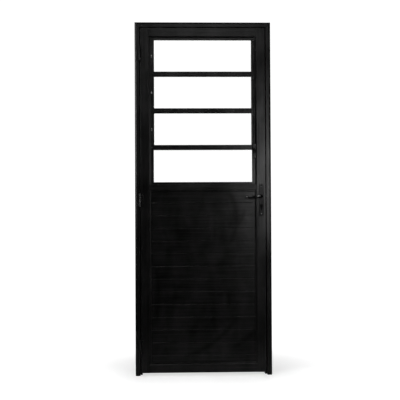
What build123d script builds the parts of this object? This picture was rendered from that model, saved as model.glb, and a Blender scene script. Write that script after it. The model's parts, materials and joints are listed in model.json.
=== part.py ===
from build123d import *
import math
import os

os.makedirs("parts", exist_ok=True)

# A hinged metal door in its frame, with tilting vent panes above and boards below.
# Millimetres: X to the right, Y away from the viewer, Z up.
# The origin is on the floor, at the middle of the width and of the leaf's thickness.

# Frame
frame_width = 810
frame_height = 2100
frame_face = 28
frame_wall = 1.8
stop_width = 12
stop_depth = 16
stop_gap = 4
bevel_width = 9.5
bevel_depth = 3
cleat_leg = 75
cleat_clear = 0.15
seal_width = 6
seal_clear = 0.3
seal_round = 1.4
seal_joint = 0.2
fixing_radius = 4
fixing_y = 11.6
fixing_edge = 250
fixing_spacing = 500

# Leaf
leaf_thickness = 30
leaf_gap = 5
floor_gap = 17
leaf_wall = 1.6
leaf_round = 1.5
stile_width = 52
top_rail_height = 52
mid_rail_bottom = 1100
mid_rail_height = 35
bottom_rail_height = 50
connector_length = 45
connector_clear = 0.15

# Boards and beads
board_pitch = 75.5
board_thickness = 12
board_wall = 1.4
board_chamfer = 1.3
board_clear = 0.2
board_end_clear = 0.5
tongue_thickness = 4
tongue_rise = 5
bead_width = 10
bead_flat = 3
bead_edge = 5.3
bead_inset = 2.5
bead_joint = 0.2
lip_width = 10
lip_thickness = 1.8

# Hinges
hinge_rise = 155
hinge_drop = 156
hinge_length = 76
barrel_radius = 6.2
barrel_clear = 0.3
knuckle_gap = 0.4
flap_thickness = 2.5
frame_flap_width = 12
leaf_flap_width = 13
flap_root_gap = 0.8
flap_corner = 2
pin_radius = 3
pin_seat_clear = 0.02
pin_running_clear = 0.06
pin_head_radius = 5
pin_head_height = 2.5
screw_radius = 2
screw_head_radius = 3.6
screw_length = 12
screw_clear = 0.1
screw_edge = 12

# Vent window
window_jamb_width = 14
window_wall = 1.3
window_splay_width = 10
window_splay_depth = 2
window_head_inset = 10
window_head_thickness = 3.5
window_head_drop = 18
window_head_lip = 2.5
sash_head_gap = 6
sash_side_gap = 2
sash_gap = 1.5
sash_depth = 16
sash_stile = 14
sash_top_rail = 13.5
sash_bottom_rail = 15
sash_web = 4
sash_flange = 2
sash_relief = 0.5
sash_lip_rise = 3.5
sash_lip_overlap = 8
sash_lip_thickness = 2
sash_count = 3
glass_thickness = 4
glass_cover = 6.5
gasket_clear = 0.1
gasket_set_back = 0.5
pivot_radius = 3
pivot_end_gap = 0.6
pivot_reach = 10
brush_width = 6
brush_clear = 0.3
brush_break = 6
transom_gap = 2
transom_height = 13
transom_lip_rise = 8
transom_lip_thickness = 2
transom_lip_side = 3
transom_groove_clear = 0.3
transom_groove_depth = 7
glass_head_clear = 1.5
transom_chamber_side = 2
fixed_height = 203.5
fixed_channel = 13
fixed_sill = 12
fixed_joint = 0.2

# Link between the sashes
link_pin_drop = 22
link_back_gap = 0.65
link_thickness = 3.2
link_width = 12.7
link_side_gap = 0.3
link_end = 9
link_tail = 6.5
lug_thickness = 3.2
lug_side_gap = 0.5
lug_round = 6
lug_base_width = 11
lug_base_height = 18
lug_base_thickness = 2
rivet_radius = 2.5
rivet_running_clear = 0.06
rivet_head_radius = 4.3
rivet_head_height = 1.6
rivet_head_gap = 0.15
grip_width = 15
grip_socket = 27
grip_tab = 57
grip_thickness = 8
grip_kick = 14
grip_slot_clear = 0.1
grip_round = 2.5
grip_back_gap = 0.5

# Lock and lever handle
lever_drop = 40
key_drop = 55
case_gap = 4.4
case_wall = 1.5
case_rise = 70
case_drop = 55
faceplate_thickness = 2
faceplate_width = 22
faceplate_margin = 15
faceplate_clear = 0.2
bolt_clear = 0.2
bolt_play = 0.5
bolt_thickness = 12
latch_height = 24
latch_reach = 11
latch_tail = 4.5
dead_bolt_height = 26
dead_bolt_set_back = 0.2
dead_bolt_head = 10
tail_gap = 4.3
tail_height = 4
tail_thickness = 2.4
strike_thickness = 1.5
strike_width = 22
strike_margin = 12
strike_corner = 4
pocket_clear = 1.5
plate_width = 26
plate_rise = 72
plate_drop = 62
plate_thickness = 3.5
plate_corner = 5
plate_round = 1
plate_screw_edge = 14
plate_screw_length = 9
neck_radius = 8
neck_running_clear = 0.06
neck_length = 30
neck_seat = 0.4
spindle_side = 8
spindle_clear = 0.05
spindle_end = 14
spindle_hole = 8
hub_radius = 9
hub_side_clear = 0.3
trunnion_radius = 7
trunnion_running_clear = 0.06
lever_length = 92
lever_standoff = 34
lever_sweep = 7.5
lever_dip = 5.5
lever_deep = 5.5
lever_lean = 8
lever_tall = 9.5
lever_shares = (
    (-0.12, 0.95, 0, 0.45, 0.45),
    (-0.09, 0.8, 0, 0.78, 0.8),
    (0, 0.35, 0, 1, 1),
    (0.15, -0.02, 0.1, 1, 1),
    (0.29, -0.2, 0.35, 1, 0.97),
    (0.5, 0.1, 0.8, 0.9, 0.9),
    (0.77, 0.65, 1, 0.75, 0.78),
    (0.96, 1.1, 0.75, 0.55, 0.58),
    (1, 1.2, 0.7, 0.3, 0.34),
)
cylinder_radius = 8.5
cylinder_web = 10
cylinder_drop = 19.5
cylinder_proud = 2.5
cylinder_fit = 0.2
core_radius = 6.5
core_running_clear = 0.05
core_set_back = 0.5
cam_half = 3.5
cam_slot_clear = 0.7
cam_radius = 8
cam_reach = 13.5
cam_lobe = 6
keyway_width = 1.6
keyway_height = 8
keyway_depth = 8
overrun = 1

# Places worked out from the sizes above
half_frame = frame_width / 2
leaf_front = -leaf_thickness / 2
leaf_back = leaf_thickness / 2
frame_front = leaf_front
stop_front = leaf_back + stop_gap
frame_back = stop_front + stop_depth
leaf_edge = half_frame - frame_face - leaf_gap
leaf_top = frame_height - frame_face - leaf_gap
leaf_height = leaf_top - floor_gap
stile_inner = leaf_edge - stile_width
stile_middle = leaf_edge - stile_width / 2
mid_rail_top = mid_rail_bottom + mid_rail_height
top_rail_bottom = leaf_top - top_rail_height
panel_bottom = floor_gap + bottom_rail_height
panel_top = mid_rail_bottom
panel_height = panel_top - panel_bottom
panel_middle = (panel_top + panel_bottom) / 2
board_half = board_thickness / 2
board_back = board_half + board_clear
board_count = math.ceil(panel_height / board_pitch)
window_edge = stile_inner - window_jamb_width
sash_edge = window_edge - sash_side_gap
sash_front = -sash_depth / 2
window_jamb_front = sash_front
transom_bottom = mid_rail_top + fixed_height
transom_top = transom_bottom + transom_height
vent_top = top_rail_bottom - sash_head_gap
sash_pitch = (vent_top - transom_top - transom_gap + sash_gap) / sash_count
sash_height = sash_pitch - sash_gap
sash_tops = [vent_top - number * sash_pitch for number in range(sash_count)]
pivot_heights = [top - sash_height / 2 for top in sash_tops]
hinge_x = -(leaf_edge + leaf_gap / 2)
hinge_y = leaf_front - barrel_clear - barrel_radius
lower_hinge = floor_gap + hinge_rise
upper_hinge = leaf_top - hinge_drop
hinge_heights = (lower_hinge, (lower_hinge + upper_hinge) / 2, upper_hinge)
knuckle_length = (hinge_length - 2 * knuckle_gap) / 3
flap_y = leaf_front - flap_thickness / 2
flap_front = leaf_front - flap_thickness
frame_flap_edge = hinge_x - barrel_radius - flap_root_gap
leaf_flap_edge = hinge_x + barrel_radius + flap_root_gap
frame_screw_x = frame_flap_edge - frame_flap_width / 2
leaf_screw_x = leaf_flap_edge + leaf_flap_width / 2
screw_offsets = (screw_edge, hinge_length / 2, hinge_length - screw_edge)
lever_x = stile_middle
lever_height = mid_rail_bottom - lever_drop
key_height = lever_height - key_drop
case_front = leaf_edge - faceplate_thickness
case_back = stile_inner + leaf_wall + case_gap
case_depth = case_front - case_back
case_cavity = bolt_thickness + 2 * bolt_play
case_thickness = case_cavity + 2 * case_wall
case_top = lever_height + case_rise
case_bottom = key_height - case_drop
case_middle = (case_top + case_bottom) / 2
case_height = case_top - case_bottom
plate_top = lever_height + plate_rise
plate_bottom = key_height - plate_drop
plate_middle = (plate_top + plate_bottom) / 2
plate_height = plate_top - plate_bottom
plate_front = leaf_front - plate_thickness
plate_screw_heights = (plate_top - plate_screw_edge, plate_bottom + plate_screw_edge)
strike_face = half_frame - frame_face
dead_bolt_front = leaf_edge - dead_bolt_set_back
dead_bolt_back = dead_bolt_front - dead_bolt_head
dead_bolt_tail = dead_bolt_back - case_back - case_wall - tail_gap
bolt_sizes = ((lever_height, latch_height), (key_height, dead_bolt_height))
fixing_heights = [
    fixing_edge,
    fixing_edge + fixing_spacing,
    frame_height - fixing_edge - fixing_spacing,
    frame_height - fixing_edge,
]
link_pin_y = sash_front - link_back_gap - link_width / 2
link_foot = transom_top - link_tail
grip_top = link_foot + grip_socket
grip_bottom = link_foot - grip_tab
link_left = sash_edge + link_side_gap


def save(part, name):
    """Label a finished piece and write it under its own name."""
    part.label = name
    export_step(part, f"parts/{name}.step")


def inward_plane(side, start):
    """Plane across an upright member: local x runs inward from X = side, local y runs to the back."""
    inward = -1 if side > 0 else 1
    return Plane(origin=(side, 0, start), x_dir=(inward, 0, 0), z_dir=(0, 0, inward))


def downward_plane(left, height):
    """Plane across a level member: local x runs down from the height, local y runs to the back."""
    return Plane(origin=(left, 0, height), x_dir=(0, 0, -1), z_dir=(1, 0, 0))


def upward_plane(right, height):
    """Plane across a level member: local x runs up from the height, local y runs to the back."""
    return Plane(origin=(right, 0, height), x_dir=(0, 0, 1), z_dir=(-1, 0, 0))


def face_plane(depth):
    """Plane parallel to the door's face at Y = depth, with local x = X and local y = Z."""
    return Plane.XZ.offset(-depth)


# Frame: hollow L-shaped members, mitred at the top corners
def frame_section(plane):
    """Front face with a bevelled outer edge, rebate, and the stop that the leaf closes on."""
    with BuildSketch(plane) as section:
        with BuildLine():
            Polyline(
                (0, frame_front + bevel_depth),
                (bevel_width, frame_front),
                (frame_face, frame_front),
                (frame_face, stop_front),
                (frame_face + stop_width, stop_front),
                (frame_face + stop_width, frame_back),
                (0, frame_back),
                close=True,
            )
        make_face()
        offset(amount=-frame_wall, kind=Kind.INTERSECTION, mode=Mode.SUBTRACT)
    return section.sketch


left_mitre = Plane(origin=(-half_frame, 0, frame_height), z_dir=(1, 0, 1))
right_mitre = Plane(origin=(half_frame, 0, frame_height), z_dir=(-1, 0, 1))

with BuildPart() as hinge_jamb:
    extrude(frame_section(inward_plane(-half_frame, 0)), amount=frame_height)
    split(bisect_by=left_mitre, keep=Keep.BOTTOM)
    with BuildSketch(Plane.YZ.offset(-half_frame)):
        with Locations(*[(fixing_y, height) for height in fixing_heights]):
            Circle(fixing_radius)
    extrude(amount=frame_face, mode=Mode.SUBTRACT)
    with BuildSketch(face_plane(frame_front)):
        for height in hinge_heights:
            with Locations(*[(frame_screw_x, height - hinge_length / 2 + rise) for rise in screw_offsets]):
                Circle(screw_radius + screw_clear)
    extrude(amount=-(frame_wall + overrun), mode=Mode.SUBTRACT)
save(hinge_jamb.part, "hinge_jamb")

with BuildPart() as strike_jamb:
    extrude(frame_section(inward_plane(half_frame, frame_height)), amount=frame_height)
    split(bisect_by=right_mitre, keep=Keep.BOTTOM)
    with BuildSketch(Plane.YZ.offset(strike_face)):
        with Locations(*[(fixing_y, height) for height in fixing_heights]):
            Circle(fixing_radius)
    extrude(amount=frame_face, mode=Mode.SUBTRACT)
    with BuildSketch(Plane.YZ.offset(strike_face)):
        for height, tall in bolt_sizes:
            with Locations((0, height)):
                Rectangle(bolt_thickness + 2 * pocket_clear, tall + 2 * pocket_clear)
    extrude(amount=frame_wall + overrun, mode=Mode.SUBTRACT)
save(strike_jamb.part, "strike_jamb")

with BuildPart() as head_jamb:
    extrude(frame_section(downward_plane(-half_frame, frame_height)), amount=frame_width)
    split(bisect_by=left_mitre, keep=Keep.TOP)
    split(bisect_by=right_mitre, keep=Keep.TOP)
save(head_jamb.part, "head_jamb")

# Corner cleats inside the mitres
cleat_outer = frame_wall + cleat_clear
cleat_inner = frame_face - frame_wall - cleat_clear
cleat_front = frame_front + bevel_depth + cleat_outer

with BuildPart() as frame_corner_cleats:
    with BuildSketch(face_plane(cleat_front)):
        with BuildLine():
            Polyline(
                (-half_frame + cleat_outer, frame_height - cleat_leg),
                (-half_frame + cleat_inner, frame_height - cleat_leg),
                (-half_frame + cleat_inner, frame_height - cleat_inner),
                (-half_frame + cleat_leg, frame_height - cleat_inner),
                (-half_frame + cleat_leg, frame_height - cleat_outer),
                (-half_frame + cleat_outer, frame_height - cleat_outer),
                close=True,
            )
        make_face()
    extrude(amount=-(stop_front - cleat_front))
    mirror(about=Plane.YZ)
save(frame_corner_cleats.part, "frame_corner_cleats")


# Seal along the front of the stop
def seal_section(plane):
    """Rounded strip, standing on the stop and just clear of the leaf's back."""
    strip_depth = stop_front - leaf_back - seal_clear
    with BuildSketch(plane) as section:
        with Locations((frame_face + stop_width / 2, stop_front - strip_depth / 2)):
            Rectangle(seal_width, strip_depth)
        fillet(section.vertices().group_by(Axis.Y)[0], radius=seal_round)
    return section.sketch


seal_far_edge = frame_face + stop_width / 2 + seal_width / 2
seal_near_edge = seal_far_edge - seal_width
seal_top = frame_height - seal_far_edge - seal_joint

with BuildPart() as frame_seal:
    extrude(seal_section(inward_plane(-half_frame, 0)), amount=seal_top)
    extrude(seal_section(inward_plane(half_frame, seal_top)), amount=seal_top)
    extrude(
        seal_section(downward_plane(-half_frame + seal_near_edge, frame_height)),
        amount=frame_width - 2 * seal_near_edge,
    )
save(frame_seal.part, "frame_seal")

# Strike plate on the rebate side of the strike jamb
strike_bottom = key_height - dead_bolt_height / 2 - strike_margin
strike_top = lever_height + latch_height / 2 + strike_margin

with BuildPart() as strike_plate:
    with BuildSketch(Plane.YZ.offset(strike_face - strike_thickness)):
        with Locations((0, (strike_bottom + strike_top) / 2)):
            RectangleRounded(strike_width, strike_top - strike_bottom, strike_corner)
        for height, tall in bolt_sizes:
            with Locations((0, height)):
                Rectangle(bolt_thickness + pocket_clear, tall + pocket_clear, mode=Mode.SUBTRACT)
    extrude(amount=strike_thickness)
save(strike_plate.part, "strike_plate")


# Leaf: hollow stiles at full height, with the rails between them
def tube_section(plane, middle, width, depth, wall, corner):
    """Rounded rectangular tube about a middle point of the plane."""
    with BuildSketch(plane) as section:
        with Locations(middle):
            RectangleRounded(width, depth, corner)
            Rectangle(width - 2 * wall, depth - 2 * wall, mode=Mode.SUBTRACT)
    return section.sketch


def stile_lip(side):
    """Back lip beside the boards."""
    with BuildSketch(Plane.XY.offset(panel_bottom)) as section:
        with Locations((side * (stile_inner - lip_width / 2), board_back + lip_thickness / 2)):
            Rectangle(lip_width, lip_thickness)
    return section.sketch


def cylinder_outline(plane, grow):
    """Key cylinder's outline: a round body over a narrow web with a round foot."""
    with BuildSketch(plane) as section:
        with Locations((lever_x, key_height)):
            Circle(cylinder_radius + grow)
        with Locations((lever_x, key_height - cylinder_drop)):
            Circle(cylinder_web / 2 + grow)
        with Locations((lever_x, key_height - cylinder_drop / 2)):
            Rectangle(cylinder_web + 2 * grow, cylinder_drop)
    return section.sketch


stile_plane = Plane.XY.offset(floor_gap)

with BuildPart() as hinge_stile:
    extrude(
        tube_section(stile_plane, (-stile_middle, 0), stile_width, leaf_thickness, leaf_wall, leaf_round),
        amount=leaf_height,
    )
    extrude(stile_lip(-1), amount=panel_height)
    with BuildSketch(face_plane(leaf_front)):
        for height in hinge_heights:
            with Locations(*[(leaf_screw_x, height - hinge_length / 2 + rise) for rise in screw_offsets]):
                Circle(screw_radius + screw_clear)
    extrude(amount=-(leaf_wall + overrun), mode=Mode.SUBTRACT)
save(hinge_stile.part, "hinge_stile")

faceplate_bottom = case_bottom - faceplate_margin
faceplate_height = case_height + 2 * faceplate_margin

with BuildPart() as lock_stile:
    extrude(
        tube_section(stile_plane, (stile_middle, 0), stile_width, leaf_thickness, leaf_wall, leaf_round),
        amount=leaf_height,
    )
    extrude(stile_lip(1), amount=panel_height)
    with BuildSketch(Plane.YZ.offset(leaf_edge - leaf_wall - overrun)):
        with Locations((0, case_middle)):
            Rectangle(faceplate_width + 2 * faceplate_clear, faceplate_height + 2 * faceplate_clear)
    extrude(amount=leaf_wall + 2 * overrun, mode=Mode.SUBTRACT)
    with BuildSketch(face_plane(leaf_front)):
        with Locations((lever_x, lever_height)):
            Circle(spindle_hole)
        with Locations(*[(lever_x, height) for height in plate_screw_heights]):
            Circle(screw_radius + screw_clear)
    extrude(amount=-leaf_thickness, mode=Mode.SUBTRACT)
    cylinder_hole = cylinder_outline(face_plane(leaf_front), cylinder_fit)
    extrude(cylinder_hole, amount=-leaf_thickness, mode=Mode.SUBTRACT)
save(lock_stile.part, "lock_stile")


def rail_section(bottom, height):
    """Tube across the leaf between the stiles."""
    plane = Plane.YZ.offset(-stile_inner)
    return tube_section(plane, (0, bottom + height / 2), leaf_thickness, height, leaf_wall, leaf_round)


def rail_lip(bottom):
    """Back lip along the boards' upper or lower end, between the stile lips."""
    with BuildSketch(Plane.YZ.offset(-(stile_inner - lip_width))) as section:
        with Locations((board_back + lip_thickness / 2, bottom + lip_width / 2)):
            Rectangle(lip_thickness, lip_width)
    return section.sketch


rail_length = 2 * stile_inner
rail_lip_length = rail_length - 2 * lip_width

with BuildPart() as top_rail:
    extrude(rail_section(top_rail_bottom, top_rail_height), amount=rail_length)
save(top_rail.part, "top_rail")

with BuildPart() as mid_rail:
    extrude(rail_section(mid_rail_bottom, mid_rail_height), amount=rail_length)
    extrude(rail_lip(panel_top - lip_width), amount=rail_lip_length)
save(mid_rail.part, "mid_rail")

with BuildPart() as bottom_rail:
    extrude(rail_section(floor_gap, bottom_rail_height), amount=rail_length)
    extrude(rail_lip(panel_bottom), amount=rail_lip_length)
save(bottom_rail.part, "bottom_rail")

# Connectors that join the rail ends to the stiles
rails = (
    (floor_gap, bottom_rail_height),
    (mid_rail_bottom, mid_rail_height),
    (top_rail_bottom, top_rail_height),
)
connector_inset = leaf_wall + connector_clear

with BuildPart() as rail_connectors:
    for bottom, height in rails:
        with BuildSketch(Plane.YZ.offset(-stile_inner)):
            with Locations((0, bottom + height / 2)):
                Rectangle(leaf_thickness - 2 * connector_inset, height - 2 * connector_inset)
        extrude(amount=connector_length)
    mirror(about=Plane.YZ)
save(rail_connectors.part, "rail_connectors")


# Boards: hollow tongue-and-groove sections laid from the mid rail down
def board_section(bottom):
    """One board: chamfered edges, tongue above, groove below and a hollow middle."""
    top = bottom + board_pitch - board_clear
    groove_half = tongue_thickness / 2 + board_clear
    groove_top = bottom + tongue_rise + board_clear
    hollow_bottom = groove_top + board_wall
    hollow_height = top - board_wall - hollow_bottom
    with BuildSketch(Plane.YZ.offset(-stile_inner + board_end_clear)) as section:
        with BuildLine():
            Polyline(
                (-board_half, bottom + board_chamfer),
                (-board_half, top - board_chamfer),
                (-board_half + board_chamfer, top),
                (-tongue_thickness / 2, top),
                (-tongue_thickness / 2, top + tongue_rise),
                (tongue_thickness / 2, top + tongue_rise),
                (tongue_thickness / 2, top),
                (board_half - board_chamfer, top),
                (board_half, top - board_chamfer),
                (board_half, bottom + board_chamfer),
                (board_half - board_chamfer, bottom),
                (groove_half, bottom),
                (groove_half, groove_top),
                (-groove_half, groove_top),
                (-groove_half, bottom),
                (-board_half + board_chamfer, bottom),
                close=True,
            )
        make_face()
        with Locations((0, hollow_bottom + hollow_height / 2)):
            Rectangle(board_thickness - 2 * board_wall, hollow_height, mode=Mode.SUBTRACT)
        with Locations((0, panel_middle)):
            Rectangle(board_thickness, panel_height - 2 * board_clear, mode=Mode.INTERSECT)
    return section.sketch


with BuildPart() as panel_boards:
    for number in range(board_count):
        board = board_section(panel_top - (number + 1) * board_pitch)
        extrude(board, amount=rail_length - 2 * board_end_clear)
save(panel_boards.part, "panel_boards")


def bead_section(plane):
    """Sloped bead in front of the boards, against the member at local x = 0."""
    bead_back = -board_half - board_clear
    with BuildSketch(plane) as section:
        with BuildLine():
            Polyline(
                (0, bead_back),
                (bead_width, bead_back),
                (bead_width, bead_back - bead_edge),
                (bead_flat, leaf_front + bead_inset),
                (0, leaf_front + bead_inset),
                close=True,
            )
        make_face()
    return section.sketch


bead_reach = stile_inner - bead_width - bead_joint

with BuildPart() as panel_beads:
    extrude(bead_section(inward_plane(-stile_inner, panel_bottom)), amount=panel_height)
    extrude(bead_section(inward_plane(stile_inner, panel_top)), amount=panel_height)
    extrude(bead_section(downward_plane(-bead_reach, panel_top)), amount=2 * bead_reach)
    extrude(bead_section(upward_plane(bead_reach, panel_bottom)), amount=2 * bead_reach)
save(panel_beads.part, "panel_beads")


# Hinges: surface flaps with three knuckles round a headed pin
def flap_part(base, edge, width, knuckle_starts, bore):
    """One hinge flap: plate on the face from its root edge outward, straps and knuckles."""
    outward = 1 if edge > hinge_x else -1
    plate_middle_x = edge + outward * width / 2
    with BuildPart() as flap:
        with BuildSketch(face_plane(leaf_front)):
            with Locations((plate_middle_x, base + hinge_length / 2)):
                RectangleRounded(width, hinge_length, flap_corner)
        extrude(amount=flap_thickness)
        for start in knuckle_starts:
            with BuildSketch(Plane.XY.offset(base + start)):
                with Locations(((hinge_x + plate_middle_x) / 2, flap_y)):
                    Rectangle(abs(plate_middle_x - hinge_x), flap_thickness)
                with Locations((hinge_x, hinge_y)):
                    Circle(barrel_radius)
                    Circle(bore, mode=Mode.SUBTRACT)
            extrude(amount=knuckle_length)
        for rise in screw_offsets:
            with Locations(Plane(origin=(plate_middle_x, flap_front, base + rise), z_dir=(0, -1, 0))):
                CounterSinkHole(screw_radius + screw_clear, screw_head_radius + screw_clear)
    return flap.part


outer_knuckles = (0, 2 * (knuckle_length + knuckle_gap))
middle_knuckle = (knuckle_length + knuckle_gap,)
seat_bore = pin_radius + pin_seat_clear
running_bore = pin_radius + pin_running_clear

for name, height in zip(("lower", "middle", "upper"), hinge_heights):
    base = height - hinge_length / 2
    frame_flap = flap_part(base, frame_flap_edge, frame_flap_width, outer_knuckles, seat_bore)
    save(frame_flap, f"{name}_hinge_frame_flap")
    leaf_flap = flap_part(base, leaf_flap_edge, leaf_flap_width, middle_knuckle, running_bore)
    save(leaf_flap, f"{name}_hinge_leaf_flap")

with BuildPart() as hinge_pins:
    for height in hinge_heights:
        base = height - hinge_length / 2
        with BuildSketch(Plane.XY.offset(base)):
            with Locations((hinge_x, hinge_y)):
                Circle(pin_radius)
        extrude(amount=hinge_length)
        for start in (base - pin_head_height, base + hinge_length):
            with BuildSketch(Plane.XY.offset(start)):
                with Locations((hinge_x, hinge_y)):
                    Circle(pin_head_radius)
            extrude(amount=pin_head_height)
save(hinge_pins.part, "hinge_pins")


def screw_part(places, outward, length):
    """Countersunk screws whose flat heads lie at the given places and face along Y = outward."""
    with BuildPart() as screws:
        with Locations(*[Plane(origin=place, z_dir=(0, outward, 0)) for place in places]):
            Cylinder(screw_radius, length, align=(Align.CENTER, Align.CENTER, Align.MAX))
            Cone(
                screw_radius,
                screw_head_radius,
                screw_head_radius - screw_radius,
                align=(Align.CENTER, Align.CENTER, Align.MAX),
            )
    return screws.part


def hinge_screw_places(screw_x):
    """Heads of one side's hinge screws."""
    return [
        (screw_x, flap_front, height - hinge_length / 2 + rise)
        for height in hinge_heights
        for rise in screw_offsets
    ]


save(screw_part(hinge_screw_places(frame_screw_x), -1, screw_length), "hinge_frame_screws")
save(screw_part(hinge_screw_places(leaf_screw_x), -1, screw_length), "hinge_leaf_screws")

# Vent window: its own jambs, head and transom inside the leaf's upper opening
window_height = top_rail_bottom - mid_rail_top
window_jamb_depth = leaf_back - window_jamb_front
window_jamb_middle = (leaf_back + window_jamb_front) / 2

for name, side in (("window_left_jamb", -1), ("window_right_jamb", 1)):
    with BuildPart() as window_jamb:
        with BuildSketch(Plane.XY.offset(mid_rail_top)):
            with Locations((side * (window_edge + window_jamb_width / 2), window_jamb_middle)):
                Rectangle(window_jamb_width, window_jamb_depth)
                Rectangle(
                    window_jamb_width - 2 * window_wall,
                    window_jamb_depth - 2 * window_wall,
                    mode=Mode.SUBTRACT,
                )
            with BuildLine():
                Polyline(
                    (side * (stile_inner - window_splay_width), window_jamb_front),
                    (side * stile_inner, window_jamb_front),
                    (side * stile_inner, window_jamb_front - window_splay_depth),
                    close=True,
                )
            make_face()
        extrude(amount=window_height)
        with BuildSketch(Plane.YZ.offset(side * window_edge)):
            with Locations(*[(0, height) for height in pivot_heights]):
                Circle(pivot_radius + pin_seat_clear)
        extrude(amount=side * (window_wall + overrun), mode=Mode.SUBTRACT)
    save(window_jamb.part, name)

with BuildPart() as window_head:
    with BuildSketch(Plane.YZ.offset(-window_edge)):
        with BuildLine():
            Polyline(
                (sash_front + window_head_inset, top_rail_bottom),
                (leaf_back, top_rail_bottom),
                (leaf_back, top_rail_bottom - window_head_drop),
                (leaf_back - window_head_lip, top_rail_bottom - window_head_drop),
                (leaf_back - window_head_lip, top_rail_bottom - window_head_thickness),
                (sash_front + window_head_inset, top_rail_bottom - window_head_thickness),
                close=True,
            )
        make_face()
    extrude(amount=2 * window_edge)
save(window_head.part, "window_head")

transom_middle = (leaf_back + window_jamb_front) / 2
transom_groove = glass_thickness + 2 * transom_groove_clear
chamber_width = (window_jamb_depth / 2 - transom_groove / 2) - 2 * transom_chamber_side
chamber_middle = leaf_back - transom_chamber_side - chamber_width / 2

with BuildPart() as transom:
    with BuildSketch(Plane.YZ.offset(-window_edge)):
        with Locations((transom_middle, transom_bottom + transom_height / 2)):
            Rectangle(window_jamb_depth, transom_height)
        with Locations((0, transom_bottom + transom_groove_depth / 2)):
            Rectangle(transom_groove, transom_groove_depth, mode=Mode.SUBTRACT)
        with Locations((chamber_middle, transom_bottom + transom_height / 2)):
            Rectangle(chamber_width, transom_height - 2 * transom_chamber_side, mode=Mode.SUBTRACT)
    extrude(amount=2 * window_edge)
    with BuildSketch(face_plane(window_jamb_front)):
        with Locations((0, transom_top + transom_lip_rise / 2 - transom_height / 2)):
            Rectangle(2 * (window_edge - transom_lip_side), transom_lip_rise + transom_height)
    extrude(amount=transom_lip_thickness)
save(transom.part, "transom")

# Brush strips on the window jambs, broken at the pivots
brush_thickness = sash_side_gap - brush_clear
brush_ends = [top_rail_bottom - window_head_thickness]
for height in pivot_heights:
    brush_ends += [height + brush_break, height - brush_break]
brush_ends.append(transom_top)

with BuildPart() as window_brush_seals:
    for upper, lower in zip(brush_ends[0::2], brush_ends[1::2]):
        with BuildSketch(Plane.XY.offset(lower)):
            with Locations((window_edge - brush_thickness / 2, 0)):
                Rectangle(brush_thickness, brush_width)
        extrude(amount=upper - lower)
    mirror(about=Plane.YZ)
save(window_brush_seals.part, "window_brush_seals")

with BuildPart() as pivot_pins:
    with BuildSketch(Plane.YZ.offset(sash_edge - sash_web + pivot_end_gap)):
        with Locations(*[(0, height) for height in pivot_heights]):
            Circle(pivot_radius)
    extrude(amount=sash_web - pivot_end_gap + sash_side_gap + pivot_reach)
    mirror(about=Plane.YZ)
save(pivot_pins.part, "pivot_pins")


# Glazed channels, with the glass held in a gasket
def channel_section(plane, width, front_relief):
    """Channel of the given face width, open at its inner side; the front flange may be set back."""
    with BuildSketch(plane) as section:
        with Locations((width / 2, front_relief / 2)):
            Rectangle(width, sash_depth - front_relief)
        with Locations((sash_web + (width - sash_web) / 2, 0)):
            Rectangle(width - sash_web, sash_depth - 2 * sash_flange, mode=Mode.SUBTRACT)
    return section.sketch


gasket_depth = sash_depth - 2 * sash_flange - 2 * gasket_clear


def pane_part(half_width, bottom, top):
    """Sheet of glass in the door's plane."""
    with BuildPart() as pane:
        with BuildSketch(face_plane(-glass_thickness / 2)):
            with Locations((0, (bottom + top) / 2)):
                Rectangle(2 * half_width, top - bottom)
        extrude(amount=-glass_thickness)
    return pane.part


def gasket_part(outer, opening, depth, pane):
    """Ring between an outer and an opening box (half width, bottom, top), with a groove for the glass."""
    with BuildPart() as gasket:
        with BuildSketch(face_plane(-depth / 2)):
            with Locations((0, (outer[1] + outer[2]) / 2)):
                Rectangle(2 * outer[0], outer[2] - outer[1])
            with Locations((0, (opening[1] + opening[2]) / 2)):
                Rectangle(2 * opening[0], opening[2] - opening[1], mode=Mode.SUBTRACT)
        extrude(amount=-depth)
        add(pane, mode=Mode.SUBTRACT)
    return gasket.part


# Sashes: each on two pivots at mid-height, with a lip where one laps over the sash above
sash_opening = sash_edge - sash_stile
gasket_edge = sash_edge - sash_web - gasket_clear

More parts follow.
